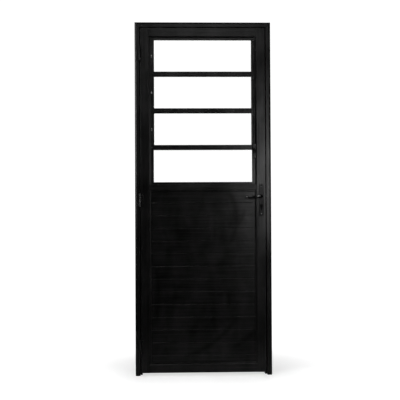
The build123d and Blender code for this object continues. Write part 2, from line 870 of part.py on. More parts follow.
for number, top in enumerate(sash_tops, start=1):
    bottom = top - sash_height
    pivot = top - sash_height / 2
    with BuildPart() as sash_frame:
        extrude(channel_section(inward_plane(-sash_edge, bottom), sash_stile, 0), amount=sash_height)
        extrude(channel_section(inward_plane(sash_edge, top), sash_stile, 0), amount=sash_height)
        with BuildSketch(Plane.YZ.offset(-sash_edge)):
            with Locations((0, pivot)):
                Circle(pivot_radius + pin_running_clear)
        extrude(amount=2 * sash_edge, mode=Mode.SUBTRACT)
        upper_rail = channel_section(downward_plane(-sash_opening, top), sash_top_rail, 0)
        extrude(upper_rail, amount=2 * sash_opening)
        lower_plane = upward_plane(sash_opening, bottom)
        lower_rail = channel_section(lower_plane, sash_bottom_rail, sash_relief)
        extrude(lower_rail, amount=2 * sash_opening)
        if top < vent_top:
            with BuildSketch(face_plane(sash_front)):
                with Locations((0, top + (sash_lip_rise - sash_lip_overlap) / 2)):
                    Rectangle(2 * sash_edge, sash_lip_rise + sash_lip_overlap)
            extrude(amount=sash_lip_thickness)
    save(sash_frame.part, f"sash_{number}_frame")

    glass_bottom = bottom + sash_bottom_rail - glass_cover
    glass_top = top - sash_top_rail + glass_cover
    sash_glass = pane_part(sash_opening + glass_cover, glass_bottom, glass_top)
    ring = (gasket_edge, bottom + sash_web + gasket_clear, top - sash_web - gasket_clear)
    hole = (
        sash_opening + gasket_set_back,
        bottom + sash_bottom_rail - gasket_set_back,
        top - sash_top_rail + gasket_set_back,
    )
    save(gasket_part(ring, hole, gasket_depth, sash_glass), f"sash_{number}_gasket")
    save(sash_glass, f"sash_{number}_glass")

    # Link lug: a base on the stile's front, an ear towards the viewer, and its rivet
    link_pin = top - link_pin_drop
    ear_right = sash_edge - lug_side_gap
    ear_left = ear_right - lug_thickness
    with BuildPart() as sash_lug:
        with BuildSketch(face_plane(sash_front)):
            with Locations((ear_right - lug_base_width / 2, link_pin)):
                Rectangle(lug_base_width, lug_base_height)
        extrude(amount=lug_base_thickness)
        with BuildSketch(Plane.YZ.offset(ear_left)):
            with Locations((link_pin_y, link_pin)):
                Circle(lug_round)
            with Locations(((link_pin_y + sash_front) / 2, link_pin)):
                Rectangle(sash_front - link_pin_y, 2 * lug_round)
        extrude(amount=lug_thickness)
        with BuildSketch(Plane.YZ.offset(ear_left - rivet_head_height)):
            with Locations((link_pin_y, link_pin)):
                Circle(rivet_head_radius)
        extrude(amount=rivet_head_height)
        rivet_end = link_left + link_thickness + rivet_head_gap
        with BuildSketch(Plane.YZ.offset(ear_left)):
            with Locations((link_pin_y, link_pin)):
                Circle(rivet_radius)
        extrude(amount=rivet_end - ear_left)
        with BuildSketch(Plane.YZ.offset(rivet_end)):
            with Locations((link_pin_y, link_pin)):
                Circle(rivet_head_radius)
        extrude(amount=rivet_head_height)
    save(sash_lug.part, f"sash_{number}_lug")

# Link bar: a flat strip on edge beside the sash stiles, pinned to each lug
link_pins = [top - link_pin_drop for top in sash_tops]
link_top = link_pins[0] + link_end

with BuildPart() as link_bar:
    with BuildSketch(Plane.YZ.offset(link_left)):
        with Locations((link_pin_y, (link_top + link_foot) / 2)):
            Rectangle(link_width, link_top - link_foot)
        with Locations(*[(link_pin_y, height) for height in link_pins]):
            Circle(rivet_radius + rivet_running_clear, mode=Mode.SUBTRACT)
    extrude(amount=link_thickness)
save(link_bar.part, "link_bar")

# Pull handle at the foot of the link bar: a socket for the strip and a tab that curves to the viewer
grip_back = window_jamb_front - transom_lip_thickness - grip_back_gap
grip_front = link_pin_y - link_width / 2 - grip_thickness / 2
grip_middle_x = link_left + link_thickness / 2

with BuildPart() as vent_handle:
    with BuildSketch(Plane.YZ.offset(grip_middle_x - grip_width / 2)):
        with BuildLine():
            Polyline((grip_front, grip_top), (grip_back, grip_top), (grip_back, link_foot))
            RadiusArc(
                (grip_back, link_foot),
                (grip_front - grip_kick + grip_thickness, grip_bottom),
                -(grip_top - grip_bottom),
            )
            Line(
                (grip_front - grip_kick + grip_thickness, grip_bottom),
                (grip_front - grip_kick, grip_bottom),
            )
            RadiusArc(
                (grip_front - grip_kick, grip_bottom),
                (grip_front, link_foot),
                grip_top - grip_bottom,
            )
            Line((grip_front, link_foot), (grip_front, grip_top))
        make_face()
    extrude(amount=grip_width)
    fillet(vent_handle.edges().filter_by(Axis.X).group_by(Axis.Z)[0], radius=grip_round)
    with BuildSketch(Plane.YZ.offset(link_left - grip_slot_clear)):
        with Locations((link_pin_y, (link_foot + grip_top) / 2)):
            Rectangle(link_width + 2 * grip_slot_clear, grip_top - link_foot)
    extrude(amount=link_thickness + 2 * grip_slot_clear, mode=Mode.SUBTRACT)
save(vent_handle.part, "vent_handle")

# Fixed pane under the transom: side channels, sill channel, gasket and glass
fixed_opening = window_edge - fixed_channel

with BuildPart() as fixed_pane_channels:
    for plane in (inward_plane(-window_edge, mid_rail_top), inward_plane(window_edge, transom_bottom)):
        extrude(channel_section(plane, fixed_channel, 0), amount=fixed_height)
    sill = channel_section(upward_plane(fixed_opening - fixed_joint, mid_rail_top), fixed_sill, 0)
    extrude(sill, amount=2 * (fixed_opening - fixed_joint))
save(fixed_pane_channels.part, "fixed_pane_channels")

fixed_glass_bottom = mid_rail_top + fixed_sill - glass_cover
fixed_glass_top = transom_bottom + transom_groove_depth - glass_head_clear
fixed_glass = pane_part(fixed_opening + glass_cover, fixed_glass_bottom, fixed_glass_top)
fixed_ring = (
    window_edge - sash_web - gasket_clear,
    mid_rail_top + sash_web + gasket_clear,
    transom_bottom - gasket_clear,
)
fixed_hole = (
    fixed_opening + gasket_set_back,
    mid_rail_top + fixed_sill - gasket_set_back,
    transom_bottom + overrun,
)
save(gasket_part(fixed_ring, fixed_hole, gasket_depth, fixed_glass), "fixed_gasket")
save(fixed_glass, "fixed_glass")

# Lock case: a sheet-metal box inside the lock stile, open towards the faceplate
with BuildPart() as lock_case:
    with BuildSketch(Plane.YZ.offset(case_back)):
        with Locations((0, case_middle)):
            Rectangle(case_thickness, case_height)
    extrude(amount=case_depth)
    with BuildSketch(Plane.YZ.offset(case_back + case_wall)):
        with Locations((0, case_middle)):
            Rectangle(case_cavity, case_height - 2 * case_wall)
    extrude(amount=case_depth, mode=Mode.SUBTRACT)
    with BuildSketch(face_plane(-case_thickness / 2)):
        with Locations((lever_x, lever_height)):
            Circle(trunnion_radius + trunnion_running_clear)
    extrude(amount=-case_thickness, mode=Mode.SUBTRACT)
    extrude(
        cylinder_outline(face_plane(-case_thickness / 2), cylinder_fit),
        amount=-case_thickness,
        mode=Mode.SUBTRACT,
    )
save(lock_case.part, "lock_case")

with BuildPart() as lock_faceplate:
    with BuildSketch(Plane.YZ.offset(case_front)):
        with Locations((0, case_middle)):
            Rectangle(faceplate_width, faceplate_height)
        for height, tall in bolt_sizes:
            with Locations((0, height)):
                Rectangle(bolt_thickness + 2 * bolt_clear, tall + 2 * bolt_clear, mode=Mode.SUBTRACT)
    extrude(amount=faceplate_thickness)
save(lock_faceplate.part, "lock_faceplate")

# Latch bolt, with its nose sloped on the side that meets the strike as the leaf closes
with BuildPart() as latch_bolt:
    with BuildSketch(Plane.XY.offset(lever_height - latch_height / 2)):
        with BuildLine():
            Polyline(
                (leaf_edge - latch_tail, -bolt_thickness / 2),
                (leaf_edge + latch_reach, -bolt_thickness / 2),
                (leaf_edge, bolt_thickness / 2),
                (leaf_edge - latch_tail, bolt_thickness / 2),
                close=True,
            )
        make_face()
    extrude(amount=latch_height)
save(latch_bolt.part, "latch_bolt")

# Dead bolt: a head in the faceplate and two tails that pass above the cylinder
with BuildPart() as dead_bolt:
    with BuildSketch(Plane.YZ.offset(dead_bolt_back)):
        with Locations((0, key_height)):
            Rectangle(bolt_thickness, dead_bolt_height)
    extrude(amount=dead_bolt_head)
    tail_y = (bolt_thickness - tail_thickness) / 2
    with BuildSketch(Plane.YZ.offset(dead_bolt_back - dead_bolt_tail)):
        tail_z = key_height + (dead_bolt_height - tail_height) / 2
        with Locations((-tail_y, tail_z), (tail_y, tail_z)):
            Rectangle(tail_thickness, tail_height)
    extrude(amount=dead_bolt_tail)
save(dead_bolt.part, "dead_bolt")

# Hub that the spindle turns inside the case
with BuildPart() as lock_hub:
    hub_half = case_cavity / 2 - hub_side_clear
    with BuildSketch(face_plane(-hub_half)):
        with Locations((lever_x, lever_height)):
            Circle(hub_radius)
    extrude(amount=-2 * hub_half)
    with BuildSketch(face_plane(-case_thickness / 2)):
        with Locations((lever_x, lever_height)):
            Circle(trunnion_radius)
    extrude(amount=-case_thickness)
    with BuildSketch(face_plane(-case_thickness / 2)):
        with Locations((lever_x, lever_height)):
            Rectangle(spindle_side + 2 * spindle_clear, spindle_side + 2 * spindle_clear)
    extrude(amount=-case_thickness, mode=Mode.SUBTRACT)
save(lock_hub.part, "lock_hub")

spindle_half = leaf_back + spindle_end

with BuildPart() as spindle:
    with BuildSketch(face_plane(-spindle_half)):
        with Locations((lever_x, lever_height)):
            Rectangle(spindle_side, spindle_side)
    extrude(amount=-2 * spindle_half)
save(spindle.part, "spindle")

# Key cylinder through the leaf, cut away in the middle for the cam
cylinder_half = leaf_back + plate_thickness + cylinder_proud
cam_slot = cam_half + cam_slot_clear
cam_slot_bottom = key_height - cam_reach - cam_slot_clear
cam_slot_top = key_height + cylinder_radius + overrun

with BuildPart() as lock_cylinder:
    extrude(cylinder_outline(face_plane(-cylinder_half), 0), amount=-2 * cylinder_half)
    with BuildSketch(face_plane(-cylinder_half)):
        with Locations((lever_x, key_height)):
            Circle(core_radius + core_running_clear)
    extrude(amount=-2 * cylinder_half, mode=Mode.SUBTRACT)
    with BuildSketch(face_plane(-cam_slot)):
        with Locations((lever_x, (cam_slot_bottom + cam_slot_top) / 2)):
            Rectangle(2 * cylinder_radius + 2 * overrun, cam_slot_top - cam_slot_bottom)
    extrude(amount=-2 * cam_slot, mode=Mode.SUBTRACT)
save(lock_cylinder.part, "lock_cylinder")

core_half = cylinder_half - core_set_back

with BuildPart() as cylinder_core:
    with BuildSketch(face_plane(-core_half)):
        with Locations((lever_x, key_height)):
            Circle(core_radius)
    extrude(amount=-2 * core_half)
    with BuildSketch(face_plane(-cam_half)):
        with Locations((lever_x, key_height)):
            Circle(cam_radius)
        with Locations((lever_x, key_height - cam_reach / 2)):
            Rectangle(cam_lobe, cam_reach)
    extrude(amount=-2 * cam_half)
    for end in (-1, 1):
        with BuildSketch(face_plane(end * core_half)):
            with Locations((lever_x, key_height)):
                Rectangle(keyway_width, keyway_height)
        extrude(amount=end * keyway_depth, mode=Mode.SUBTRACT)
save(cylinder_core.part, "cylinder_core")

# Long plates on both faces
with BuildPart() as front_plate:
    with BuildSketch(face_plane(leaf_front)):
        with Locations((lever_x, plate_middle)):
            RectangleRounded(plate_width, plate_height, plate_corner)
    extrude(amount=plate_thickness)
    fillet(front_plate.faces().sort_by(Axis.Y)[0].edges(), radius=plate_round)
    with BuildSketch(face_plane(leaf_front)):
        with Locations((lever_x, lever_height)):
            Circle(neck_radius + neck_running_clear)
    extrude(amount=plate_thickness, mode=Mode.SUBTRACT)
    cylinder_hole = cylinder_outline(face_plane(leaf_front), cylinder_fit)
    extrude(cylinder_hole, amount=plate_thickness, mode=Mode.SUBTRACT)
    for height in plate_screw_heights:
        with Locations(Plane(origin=(lever_x, plate_front, height), z_dir=(0, -1, 0))):
            CounterSinkHole(screw_radius + screw_clear, screw_head_radius + screw_clear)
save(front_plate.part, "front_plate")

with BuildPart() as back_plate:
    mirror(front_plate.part, about=Plane.XZ)
save(back_plate.part, "back_plate")

with BuildPart() as plate_screws:
    for outward in (-1, 1):
        places = [(lever_x, -plate_front * outward, height) for height in plate_screw_heights]
        add(screw_part(places, outward, plate_screw_length))
save(plate_screws.part, "plate_screws")

# Levers: a round neck through the plate and a waved arm that sweeps back towards the door at its tip
with BuildPart() as front_lever:
    for along, sweep, dip, deep, tall in lever_shares:
        with BuildSketch(Plane.YZ.offset(lever_x - along * lever_length)):
            arm_y = leaf_front - lever_standoff + sweep * lever_sweep
            with Locations((arm_y, lever_height - dip * lever_dip)):
                Ellipse(deep * lever_deep, tall * lever_tall, rotation=lever_lean)
    loft()
    with BuildSketch(face_plane(leaf_front - neck_seat)):
        with Locations((lever_x, lever_height)):
            Circle(neck_radius)
    extrude(amount=neck_length)
    with BuildSketch(face_plane(leaf_front)):
        with Locations((lever_x, lever_height)):
            Rectangle(spindle_side + 2 * spindle_clear, spindle_side + 2 * spindle_clear)
    extrude(amount=spindle_end + spindle_clear, mode=Mode.SUBTRACT)
save(front_lever.part, "front_lever")

with BuildPart() as back_lever:
    mirror(front_lever.part, about=Plane.XZ)
save(back_lever.part, "back_lever")
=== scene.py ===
import json
import math

import bmesh
import bpy
from mathutils import Matrix, Vector


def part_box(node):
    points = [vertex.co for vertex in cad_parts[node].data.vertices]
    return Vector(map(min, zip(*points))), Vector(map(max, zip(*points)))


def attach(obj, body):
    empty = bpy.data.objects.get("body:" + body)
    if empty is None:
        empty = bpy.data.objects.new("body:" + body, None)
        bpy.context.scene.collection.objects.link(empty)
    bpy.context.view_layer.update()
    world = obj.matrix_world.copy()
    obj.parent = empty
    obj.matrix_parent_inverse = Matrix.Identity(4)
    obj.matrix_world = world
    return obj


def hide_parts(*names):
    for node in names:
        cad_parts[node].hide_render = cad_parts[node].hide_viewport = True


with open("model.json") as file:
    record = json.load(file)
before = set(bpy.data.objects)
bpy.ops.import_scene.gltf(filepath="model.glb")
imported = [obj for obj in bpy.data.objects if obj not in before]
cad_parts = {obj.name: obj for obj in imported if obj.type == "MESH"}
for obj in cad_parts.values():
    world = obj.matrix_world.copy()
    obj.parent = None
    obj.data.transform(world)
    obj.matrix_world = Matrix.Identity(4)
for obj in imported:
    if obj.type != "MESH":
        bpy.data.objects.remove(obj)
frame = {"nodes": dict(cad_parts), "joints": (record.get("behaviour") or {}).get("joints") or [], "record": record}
nodes = frame["nodes"]
joints = {joint["name"]: joint for joint in frame["joints"]}
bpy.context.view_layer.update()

# Camera: the photograph's distance and target in metres, angles in degrees, lens and sensor in millimetres
CAMERA_DISTANCE = 4.5
CAMERA_AZIMUTH = -1.6
CAMERA_ELEVATION = -0.78
CAMERA_ROLL = -0.27
CAMERA_LENS = 67.9
CAMERA_SENSOR = 36.0
CAMERA_TARGET = Vector((-0.0191, 0.0, 1.0401))


# Shader helpers
def new_material(name):
    """Material with an empty principled shader; returns the material, its tree and the shader."""
    material = bpy.data.materials.new(name)
    material.use_nodes = True
    tree = material.node_tree
    tree.nodes.clear()
    shader = tree.nodes.new("ShaderNodeBsdfPrincipled")
    output = tree.nodes.new("ShaderNodeOutputMaterial")
    tree.links.new(shader.outputs["BSDF"], output.inputs["Surface"])
    return material, tree, shader


def set_input(tree, socket, value):
    """Link the socket to another node's output, or set its plain value."""
    if isinstance(value, bpy.types.NodeSocket):
        tree.links.new(value, socket)
    else:
        socket.default_value = value


def object_position(tree):
    """Position on the piece, in metres, which stays with the piece as it moves."""
    return tree.nodes.new("ShaderNodeTexCoord").outputs["Object"]


def separated(tree, vector):
    """The X, Y and Z outputs of a vector."""
    split = tree.nodes.new("ShaderNodeSeparateXYZ")
    tree.links.new(vector, split.inputs["Vector"])
    return split.outputs


def mapped(tree, vector, scale, rotation=(0, 0, 0)):
    """Position stretched and turned, for grain and streaks."""
    mapping = tree.nodes.new("ShaderNodeMapping")
    mapping.inputs["Scale"].default_value = scale
    mapping.inputs["Rotation"].default_value = rotation
    tree.links.new(vector, mapping.inputs["Vector"])
    return mapping.outputs["Vector"]


def noise(tree, vector, scale=1.0, detail=3.0, roughness=0.5, distortion=0.0):
    """Soft random field between 0 and 1, its scale in waves to a metre."""
    texture = tree.nodes.new("ShaderNodeTexNoise")
    texture.inputs["Scale"].default_value = scale
    texture.inputs["Detail"].default_value = detail
    texture.inputs["Roughness"].default_value = roughness
    texture.inputs["Distortion"].default_value = distortion
    tree.links.new(vector, texture.inputs["Vector"])
    return texture.outputs["Fac"]


def ramp(tree, value, span, result):
    """Value mapped from one span to another, clamped at both ends."""
    remap = tree.nodes.new("ShaderNodeMapRange")
    tree.links.new(value, remap.inputs["Value"])
    for name, number in zip(("From Min", "From Max", "To Min", "To Max"), (*span, *result)):
        remap.inputs[name].default_value = number
    return remap.outputs["Result"]


def maths(tree, operation, first, second=0.0):
    """One arithmetic step on two fields or numbers, or on one."""
    node = tree.nodes.new("ShaderNodeMath")
    node.operation = operation
    set_input(tree, node.inputs[0], first)
    set_input(tree, node.inputs[1], second)
    return node.outputs["Value"]


def mix_colour(tree, share, first, second):
    """Blend of two colours by a field."""
    node = tree.nodes.new("ShaderNodeMix")
    node.data_type = "RGBA"
    set_input(tree, node.inputs["Factor"], share)
    colours = [socket for socket in node.inputs if socket.type == "RGBA"]
    for socket, colour in zip(colours, (first, second)):
        set_input(tree, socket, colour)
    return [socket for socket in node.outputs if socket.type == "RGBA"][0]


def grey(level):
    """Neutral colour."""
    return (level, level, level, 1.0)


def rounded_normal(tree, radius):
    """Normal of the surface with its sharp edges shaded as if rounded."""
    bevel = tree.nodes.new("ShaderNodeBevel")
    bevel.samples = 6
    bevel.inputs["Radius"].default_value = radius
    return bevel.outputs["Normal"]


def bumped(tree, height, strength, distance, edge):
    """Normal roughened by a height field, on edges rounded by a radius."""
    bump = tree.nodes.new("ShaderNodeBump")
    bump.inputs["Strength"].default_value = strength
    bump.inputs["Distance"].default_value = distance
    tree.links.new(height, bump.inputs["Height"])
    tree.links.new(rounded_normal(tree, edge), bump.inputs["Normal"])
    return bump.outputs["Normal"]


# Materials; lengths are in metres, and a span is the part of a field that is in use
FULL_SPAN = (0.0, 1.0)
NOISE_SPAN = (0.3, 0.7)

PAINT_GREY = 0.0024
PAINT_ROUGH = 0.3
PAINT_EDGE = 0.001
PAINT_SHINE = 0.46
FITTING_GREY = 0.001
FITTING_EDGE = 0.0006

PATCH_SCALE = (11.0, 11.0, 5.0)
PATCH_TURN = (0.0, 0.5, 0.0)
CLOUD_SHARE = 0.35
PATCH_SHARE = 0.35
STREAK_SHARE = 0.3
VEIL_SPAN = (0.2, 0.8)
VEIL_TINT = (0.4, 1.0)
CLEAN_GREY_SHARE = 0.2
DUSTY_GREY_SHARE = 2.2
CLEAN_SMOOTHER = 0.02
DUSTY_ROUGHER = 0.03

# Painted shade: the paint's colour and reflection darken in tight corners and creases, within this reach
CORNER_REACH = 0.007
CORNER_SPAN = (0.35, 0.95)
CORNER_SHADE_TINT = (0.25, 1.0)

LEVEL_STREAKS = (3.0, 40.0, 130.0)
UPRIGHT_STREAKS = (130.0, 40.0, 3.0)

# Arcs wiped by a cloth: centre across and up, radius, half width, and the angles in radians at both ends
WIPED_SHARE = 0.42
WIPE_FADE = 0.05
WIPED_ARCS = (
    ((-0.09, 0.93), 0.288, 0.024, -0.66, 0.7),
    ((-0.045, 1.048), 0.3, 0.018, -0.62, -0.14),
    ((-0.27, 0.647), 0.56, 0.024, -1.34, -0.62),
    ((-0.244, 0.842), 0.8, 0.024, -1.04, -0.76),
    ((-1.17, 0.48), 0.9, 0.03, -0.22, 0.22),
    ((-1.0, 0.45), 1.15, 0.02, -0.06, 0.06),
)


def wiped(tree, place, centre, radius, width, start, end):
    """1 along an arc on the door's face where a cloth has passed, fading to 0 around it and at its ends."""
    position = separated(tree, place)
    across = maths(tree, "SUBTRACT", position["X"], centre[0])
    up = maths(tree, "SUBTRACT", position["Z"], centre[1])
    squares = maths(tree, "ADD", maths(tree, "MULTIPLY", across, across), maths(tree, "MULTIPLY", up, up))
    off_arc = maths(tree, "ABSOLUTE", maths(tree, "SUBTRACT", maths(tree, "SQRT", squares), radius))
    beside = ramp(tree, off_arc, (0.0, width), (1.0, 0.0))
    angle = maths(tree, "ARCTAN2", up, across)
    fade = WIPE_FADE / radius
    begun = ramp(tree, angle, (start, start + fade), (0.0, 1.0))
    going = ramp(tree, angle, (end - fade, end), (1.0, 0.0))
    return maths(tree, "MULTIPLY", beside, maths(tree, "MULTIPLY", begun, going))


def dust_veil(tree, place, streak, arcs):
    """Share of dust on the paint: soft clouds, patches and streaks, thinner along the wiped arcs."""
    cloud = noise(tree, place, scale=5.0, detail=4.0, roughness=0.55)
    patch = noise(tree, mapped(tree, place, PATCH_SCALE, PATCH_TURN), distortion=0.4)
    lines = noise(tree, mapped(tree, place, streak))
    clouded = ramp(tree, cloud, NOISE_SPAN, (0.0, CLOUD_SHARE))
    veil = maths(tree, "ADD", clouded, ramp(tree, patch, NOISE_SPAN, (0.0, PATCH_SHARE)))
    veil = maths(tree, "ADD", veil, ramp(tree, lines, NOISE_SPAN, (0.0, STREAK_SHARE)))
    for arc in arcs:
        clean = maths(tree, "MULTIPLY", wiped(tree, place, *arc), WIPED_SHARE)
        veil = maths(tree, "MULTIPLY", veil, maths(tree, "SUBTRACT", 1.0, clean))
    return veil


def painted_corner_shade(tree):
    """1 on open faces, less in tight corners and creases, where it paints shade into the colour and the
    reflection.
    """
    corner = tree.nodes.new("ShaderNodeAmbientOcclusion")
    corner.samples = 4
    corner.inputs["Distance"].default_value = CORNER_REACH
    return ramp(tree, corner.outputs["AO"], CORNER_SPAN, CORNER_SHADE_TINT)


def paint_material(
    name, streak, level=PAINT_GREY, rough=PAINT_ROUGH, edge=PAINT_EDGE, shine=PAINT_SHINE, arcs=()
):
    """Satin black powder coat: orange peel, a cloudy veil of dust, streaks, wiped arcs and painted shade in tight
    corners.
    """
    material, tree, shader = new_material(name)
    place = object_position(tree)
    peel = noise(tree, place, scale=700, detail=2.0)
    veil = dust_veil(tree, place, streak, arcs)
    # Painted shade: tight corners get less dust colour and a darker reflection tint
    unshaded_share = painted_corner_shade(tree)
    tint = maths(tree, "MULTIPLY", ramp(tree, veil, VEIL_SPAN, VEIL_TINT), unshaded_share)
    dust_and_corner_shade = maths(tree, "MULTIPLY", veil, unshaded_share)
    colour = mix_colour(tree, dust_and_corner_shade, grey(level * CLEAN_GREY_SHARE), grey(level * DUSTY_GREY_SHARE))
    dulled = ramp(tree, veil, FULL_SPAN, (rough - CLEAN_SMOOTHER, rough + DUSTY_ROUGHER))
    set_input(tree, shader.inputs["Base Color"], colour)
    set_input(tree, shader.inputs["Roughness"], dulled)
    set_input(tree, shader.inputs["Specular Tint"], mix_colour(tree, tint, grey(0.0), grey(1.0)))
    shader.inputs["Specular IOR Level"].default_value = shine
    normal = bumped(tree, peel, strength=0.12, distance=0.0004, edge=edge)
    set_input(tree, shader.inputs["Normal"], normal)
    return material


def metal_material(name, colour, rough, stretch):
    """Bare metal with fine drawn lines and a cloudy oxide film."""
    material, tree, shader = new_material(name)
    place = object_position(tree)
    lines = noise(tree, mapped(tree, place, stretch))
    film = noise(tree, place, scale=60.0, detail=4.0)
    oxide_share, smoother, rougher = 0.7, 0.06, 0.08
    oxide = tuple(part * oxide_share for part in colour) + (1.0,)
    set_input(tree, shader.inputs["Base Color"], mix_colour(tree, film, colour + (1.0,), oxide))
    drawn = ramp(tree, lines, NOISE_SPAN, (rough - smoother, rough + rougher))
    set_input(tree, shader.inputs["Roughness"], drawn)
    shader.inputs["Metallic"].default_value = 1.0
    normal = bumped(tree, lines, strength=0.08, distance=0.0002, edge=0.0004)
    set_input(tree, shader.inputs["Normal"], normal)
    return material


def rubber_material():
    """Matt black rubber with a fine grain."""
    material, tree, shader = new_material("black_rubber")
    place = object_position(tree)
    grain = noise(tree, place, scale=1500, detail=2.0)
    bloom = noise(tree, place, scale=30, detail=4.0)
    fresh, bloomed = grey(0.006), grey(0.014)
    set_input(tree, shader.inputs["Base Color"], mix_colour(tree, bloom, fresh, bloomed))
    set_input(tree, shader.inputs["Roughness"], ramp(tree, bloom, span=(0.2, 0.8), result=(0.62, 0.8)))
    normal = bumped(tree, grain, strength=0.15, distance=0.0002, edge=0.0004)
    set_input(tree, shader.inputs["Normal"], normal)
    return material


def brush_material():
    """Dense upright pile: fine dark fibres across the strip."""
    material, tree, shader = new_material("brush_pile")
    fibres = noise(tree, mapped(tree, object_position(tree), scale=(300, 2600, 2600)), detail=2.0)
    roots, tips = grey(0.003), grey(0.03)
    set_input(tree, shader.inputs["Base Color"], mix_colour(tree, fibres, roots, tips))
    shader.inputs["Roughness"].default_value = 0.9
    normal = bumped(tree, fibres, strength=0.6, distance=0.0006, edge=0.0003)
    set_input(tree, shader.inputs["Normal"], normal)
    return material


def glass_material():
    """Clear float glass with faint smears in its gloss."""
    material, tree, shader = new_material("clear_glass")
    smear = noise(tree, mapped(tree, object_position(tree), scale=(8, 8, 3)), detail=5.0)
    set_input(tree, shader.inputs["Roughness"], ramp(tree, smear, span=(0.55, 0.85), result=(0.0, 0.03)))
    shader.inputs["Base Color"].default_value = (0.985, 0.992, 0.988, 1.0)
    shader.inputs["Transmission Weight"].default_value = 1.0
    shader.inputs["IOR"].default_value = 1.5
    return material


# One finish for each of the record's material slots
materials = {
    "black_paint": paint_material("black_paint", UPRIGHT_STREAKS),
    "black_handle": paint_material(
        "black_handle", UPRIGHT_STREAKS, level=FITTING_GREY, rough=0.16, edge=FITTING_EDGE, shine=0.7
    ),
    "zinc_steel": metal_material("zinc_steel", colour=(0.3, 0.305, 0.31), rough=0.42, stretch=(400, 400, 40)),
    "cast_aluminium": metal_material(
        "cast_aluminium", colour=(0.6, 0.6, 0.61), rough=0.5, stretch=(300, 300, 300)
    ),
    "black_nickel": metal_material(
        "black_nickel", colour=(0.004, 0.004, 0.0042), rough=0.4, stretch=(500, 60, 500)
    ),
    "black_rubber": rubber_material(),
    "clear_glass": glass_material(),
    "brush_pile": brush_material(),
}

# Finishes of nodes that look unlike the rest of their slot: streaks along the piece, duller or glossier faces, and
# a painted glint on the middle hinge
level_paint = paint_material("black_paint_level", LEVEL_STREAKS)
rough_paint = paint_material("black_paint_rough", LEVEL_STREAKS, rough=0.42, shine=0.36)
board_paint = paint_material("black_paint_boards", LEVEL_STREAKS, arcs=WIPED_ARCS)
# Painted glint: only the middle hinge gets this glossier copy of the paint, so that it shines brighter than the
# other two
glint_hinge_paint = paint_material("black_paint_hinge_glint", UPRIGHT_STREAKS, rough=0.26, edge=FITTING_EDGE, shine=1.0)
plate_paint = paint_material(
    "black_paint_plates", UPRIGHT_STREAKS, level=FITTING_GREY, rough=0.34, edge=FITTING_EDGE, shine=0.24
)
dull_steel = metal_material("dull_steel", colour=(0.1, 0.1, 0.102), rough=0.5, stretch=(400, 400, 40))
own_finishes = {"panel_boards": board_paint, "mid_rail": rough_paint}
for finish, names in (
    (level_paint, ("head_jamb", "top_rail", "bottom_rail", "window_head", "transom")),
    (glint_hinge_paint, ("middle_hinge_frame_flap", "middle_hinge_leaf_flap")),
    (plate_paint, ("front_plate", "back_plate")),
    (dull_steel, ("pivot_pins", "strike_plate", "lock_faceplate", "latch_bolt", "dead_bolt")),
):
    own_finishes.update(dict.fromkeys(names, finish))

for entry in frame["record"]["subparts"]:
    slots = nodes[entry["node"]].data.materials
    slots.clear()
    slots.append(own_finishes.get(entry["node"], materials[entry["material_slot"]]))


# Small pieces that the solids leave plain: screw heads with cross recesses, rivet domes, grub screws
FACING = {
    "front": Matrix(((1, 0, 0), (0, 0, -1), (0, 1, 0))),
    "back": Matrix(((-1, 0, 0), (0, 0, 1), (0, 1, 0))),
    "right": Matrix(((0, 0, 1), (1, 0, 0), (0, 1, 0))),
    "left": Matrix(((0, 0, -1), (-1, 0, 0), (0, 1, 0))),
    "down": Matrix(((1, 0, 0), (0, -1, 0), (0, 0, -1))),
}
RING_COUNT = 24
SHARP_ANGLE = 35
MERGE_DISTANCE = 1e-6
RECESS_TAPER_SHARE = 0.85

SCREW_CROWN = 0.0003
SCREW_LIP = 0.0001
SHANK_SHARE = 0.55
RIM_SHARE = 0.98
EDGE_SHARE = 0.96
SHOULDER_SHARE = 0.8
SHOULDER_CROWN_SHARE = 0.75
FLAT_SHARE = 0.66
CROSS_ARM_SHARE = 0.56
CROSS_HALF_SHARE = 0.16
CROSS_DEPTH_SHARE = 0.45
SCREW_SPIN = 0.3
SCREW_SPIN_STEP = 0.9

LOCK_SCREW_RADIUS = 0.0036
LOCK_SCREW_LENGTH = 0.0012
LOCK_SCREW_INSET = 0.011
LOCK_SCREW_SPIN = 0.5
LOCK_SCREW_SPIN_STEP = 1.1

RIVET_RADIUS = 0.004
RIVET_LEFT = 0.2987
RIVET_LEFT_HEIGHT = 0.0009
RIVET_RIGHT_HEIGHT = 0.0006
DOME_STEPS = 5
DOME_SINK = 0.0004

GRUB_RADIUS = 0.002
GRUB_LENGTH = 0.003
GRUB_CHAMFER = 0.0002
GRUB_FACE_SHARE = 0.88
SOCKET_SHARE = 0.55
SOCKET_DEPTH_SHARE = 0.7
GRUB_FROM_MIDDLE = 0.027
GRUB_PROUD = 0.0001
NECK_RADIUS = 0.008


def solid_boxes(node):
    """Lowest and highest corner of each separate solid in a node."""
    shape = bmesh.new()
    shape.from_mesh(nodes[node].data)
    bmesh.ops.remove_doubles(shape, verts=shape.verts, dist=MERGE_DISTANCE)
    boxes, seen = [], set()
    for first in shape.verts:
        if first in seen:
            continue
        seen.add(first)
        waiting, points = [first], []
        while waiting:
            vert = waiting.pop()
            points.append(vert.co.copy())
            for edge in vert.link_edges:
                other = edge.other_vert(vert)
                if other not in seen:
                    seen.add(other)
                    waiting.append(other)
        low = Vector([min(point[axis] for point in points) for axis in range(3)])
        high = Vector([max(point[axis] for point in points) for axis in range(3)])
        boxes.append((low, high))
    shape.free()
    return boxes


def placed(facing, place, spin=0.0):
    """Matrix that puts a piece modelled upright at a place, facing one way and turned about its axis."""
    return Matrix.Translation(place) @ FACING[facing].to_4x4() @ Matrix.Rotation(spin, 4, "Z")


